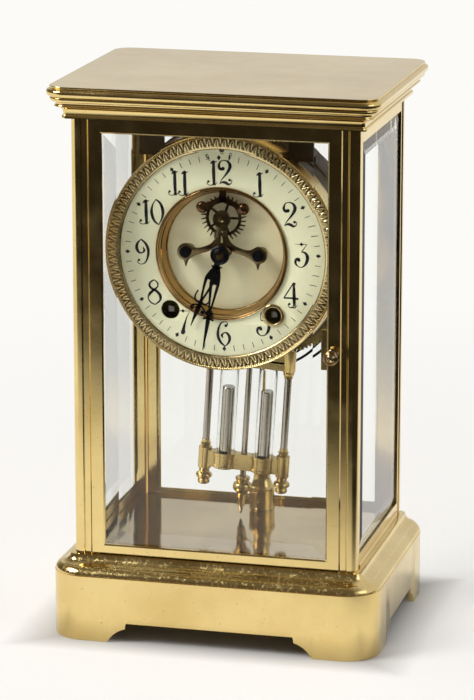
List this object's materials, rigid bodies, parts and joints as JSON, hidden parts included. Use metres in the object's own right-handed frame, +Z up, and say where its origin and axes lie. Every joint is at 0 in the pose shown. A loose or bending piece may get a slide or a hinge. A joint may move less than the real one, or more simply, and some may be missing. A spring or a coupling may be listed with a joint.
{
  "type": "crystal regulator clock",
  "caption": "Four-glass brass table clock with a ring dial, visible escapement, gong and a two-vial pendulum behind hinged front and back doors.",
  "frame": {"origin": "on the ground under the middle of the base", "axes": "+X to the right of the dial, +Y to the back, +Z up; the dial faces -Y"},
  "size_m": [0.1598, 0.1258, 0.267],
  "materials": {
    "case_brass": "polished, lacquered, lightly scratched",
    "movement_brass": "turned and gilt, slightly toned",
    "glass": "clear, bevelled and polished",
    "enamel": "glossy cream enamel with black figures",
    "black_steel": "blued black, satin",
    "steel": "polished steel"
  },
  "bodies": {
    "case": {"base": "case_brass", "floor_plate": "case_brass", "post_front_left": "case_brass", "post_front_right": "case_brass", "post_back_left": "case_brass", "post_back_right": "case_brass", "side_rail_left_bottom": "case_brass", "side_rail_left_top": "case_brass", "side_rail_right_bottom": "case_brass", "side_rail_right_top": "case_brass", "cornice": "case_brass", "bezel": "case_brass", "side_glass_left": "glass", "side_glass_right": "glass", "enamel_dial": "enamel", "centre_disc": "enamel", "bridge_screw_left": "black_steel", "bridge_screw_right": "black_steel", "gong_coil": "black_steel", "gilt_ring": "movement_brass", "winding_grommet": "movement_brass", "movement_ring": "movement_brass", "front_plate": "movement_brass", "back_plate": "movement_brass", "escape_bridge": "movement_brass", "gong_column": "movement_brass"},
    "front_door": {"front_door_frame": "case_brass", "front_door_glass": "glass"},
    "front_latch": {"front_latch_knob": "case_brass"},
    "back_door": {"back_door_frame": "case_brass", "back_door_glass": "glass"},
    "back_latch": {"back_latch_knob": "case_brass"},
    "minute": {"minute_hand": "black_steel", "centre_arbor": "steel"},
    "hour": {"hour_hand": "black_steel", "hour_pipe": "movement_brass"},
    "motion_work": {"motion_work_wheel": "movement_brass"},
    "third": {"third_wheel": "movement_brass"},
    "escape": {"escape_wheel": "movement_brass"},
    "centre": {"centre_wheel": "movement_brass"},
    "second": {"second_wheel": "movement_brass"},
    "time_drum": {"time_barrel": "movement_brass"},
    "strike_drum": {"strike_barrel": "movement_brass"},
    "strike_second": {"strike_wheel": "movement_brass"},
    "hammer": {"strike_hammer": "steel"},
    "time_winder": {"time_winding_arbor": "steel"},
    "strike_winder": {"strike_winding_arbor": "steel"},
    "regulator": {"regulator_arbor": "steel"},
    "pendulum": {"suspension": "steel", "pallet_anchor": "movement_brass"},
    "bob": {"pendulum_upper_bracket": "movement_brass", "pendulum_lower_bracket": "movement_brass", "centre_rod": "steel", "outer_rod_left": "steel", "outer_rod_right": "steel", "vial_left": "glass", "vial_right": "glass", "weight_left": "steel", "weight_right": "steel"},
    "nut": {"rating_nut": "movement_brass"}
  },
  "joints": [
    {"name": "front_door_hinge", "type": "hinge", "parent": "case", "child": "front_door", "pos_m": [-0.0576, -0.0504, 0.146], "axis": [0, 0, -1], "range_deg": [0, 105]},
    {"name": "back_door_hinge", "type": "hinge", "parent": "case", "child": "back_door", "pos_m": [0.0576, 0.0504, 0.146], "axis": [0, 0, -1], "range_deg": [0, 105]},
    {"name": "front_latch_turn", "type": "hinge", "parent": "front_door", "child": "front_latch", "pos_m": [0.057, -0.0518, 0.145], "axis": [0, -1, 0], "range_deg": [0, 90]},
    {"name": "back_latch_turn", "type": "hinge", "parent": "back_door", "child": "back_latch", "pos_m": [-0.057, 0.0518, 0.145], "axis": [0, 1, 0], "range_deg": [0, 90]},
    {"name": "minute_hand_turn", "type": "hinge", "parent": "case", "child": "minute", "pos_m": [0, -0.04, 0.1872], "axis": [0, 1, 0], "continuous": true},
    {"name": "hour_hand_turn", "type": "hinge", "parent": "case", "child": "hour", "pos_m": [0, -0.038, 0.1872], "axis": [0, 1, 0], "continuous": true},
    {"name": "motion_work_turn", "type": "hinge", "parent": "case", "child": "motion_work", "pos_m": [-0.0094, -0.026, 0.1815], "axis": [0, 1, 0], "continuous": true},
    {"name": "third_wheel_turn", "type": "hinge", "parent": "case", "child": "third", "pos_m": [-0.011, -0.02, 0.1962], "axis": [0, 1, 0], "continuous": true},
    {"name": "escape_wheel_turn", "type": "hinge", "parent": "case", "child": "escape", "pos_m": [0, -0.032, 0.2036], "axis": [0, 1, 0], "continuous": true},
    {"name": "centre_wheel_turn", "type": "hinge", "parent": "case", "child": "centre", "pos_m": [0, -0.018, 0.1872], "axis": [0, 1, 0], "continuous": true},
    {"name": "second_wheel_turn", "type": "hinge", "parent": "case", "child": "second", "pos_m": [0.012, -0.016, 0.1822], "axis": [0, 1, 0], "continuous": true},
    {"name": "time_barrel_turn", "type": "hinge", "parent": "case", "child": "time_drum", "pos_m": [0.025, -0.01, 0.159], "axis": [0, 1, 0], "continuous": true},
    {"name": "strike_barrel_turn", "type": "hinge", "parent": "case", "child": "strike_drum", "pos_m": [-0.025, -0.01, 0.159], "axis": [0, 1, 0], "continuous": true},
    {"name": "strike_wheel_turn", "type": "hinge", "parent": "case", "child": "strike_second", "pos_m": [-0.012, -0.016, 0.1822], "axis": [0, 1, 0], "continuous": true},
    {"name": "hammer_lift", "type": "hinge", "parent": "case", "child": "hammer", "pos_m": [-0.04, 0, 0.1922], "axis": [0, 1, 0], "range_deg": [0, 12]},
    {"name": "time_winding_turn", "type": "hinge", "parent": "case", "child": "time_winder", "pos_m": [0.025, -0.03, 0.159], "axis": [0, 1, 0], "continuous": true},
    {"name": "strike_winding_turn", "type": "hinge", "parent": "case", "child": "strike_winder", "pos_m": [-0.025, -0.03, 0.159], "axis": [0, 1, 0], "continuous": true},
    {"name": "regulator_turn", "type": "hinge", "parent": "case", "child": "regulator", "pos_m": [0, -0.03, 0.2358], "axis": [0, 1, 0], "range_deg": [-180, 180]},
    {"name": "pendulum_swing", "type": "hinge", "parent": "case", "child": "pendulum", "pos_m": [0, 0.02, 0.2276], "axis": [0, 1, 0], "range_deg": [-4, 4]},
    {"name": "bob_hook_swing", "type": "hinge", "parent": "pendulum", "child": "bob", "pos_m": [0, 0.02, 0.126], "axis": [0, 1, 0], "range_deg": [-4.5, 1]},
    {"name": "rating_nut_turn", "type": "hinge", "parent": "bob", "child": "nut", "pos_m": [0, 0.02, 0.126], "axis": [0.061, 0, 0.9981], "continuous": true}
  ],
  "couplings": [
    {"joint": "hour_hand_turn", "follows": "minute_hand_turn", "ratio": 0.083333},
    {"joint": "motion_work_turn", "follows": "minute_hand_turn", "ratio": -0.33333},
    {"joint": "escape_wheel_turn", "follows": "third_wheel_turn", "ratio": -13},
    {"joint": "centre_wheel_turn", "follows": "third_wheel_turn", "ratio": -0.083333},
    {"joint": "second_wheel_turn", "follows": "third_wheel_turn", "ratio": 0.020833},
    {"joint": "time_barrel_turn", "follows": "third_wheel_turn", "ratio": -0.0028539},
    {"joint": "strike_wheel_turn", "follows": "strike_barrel_turn", "ratio": -7.3}
  ]
}
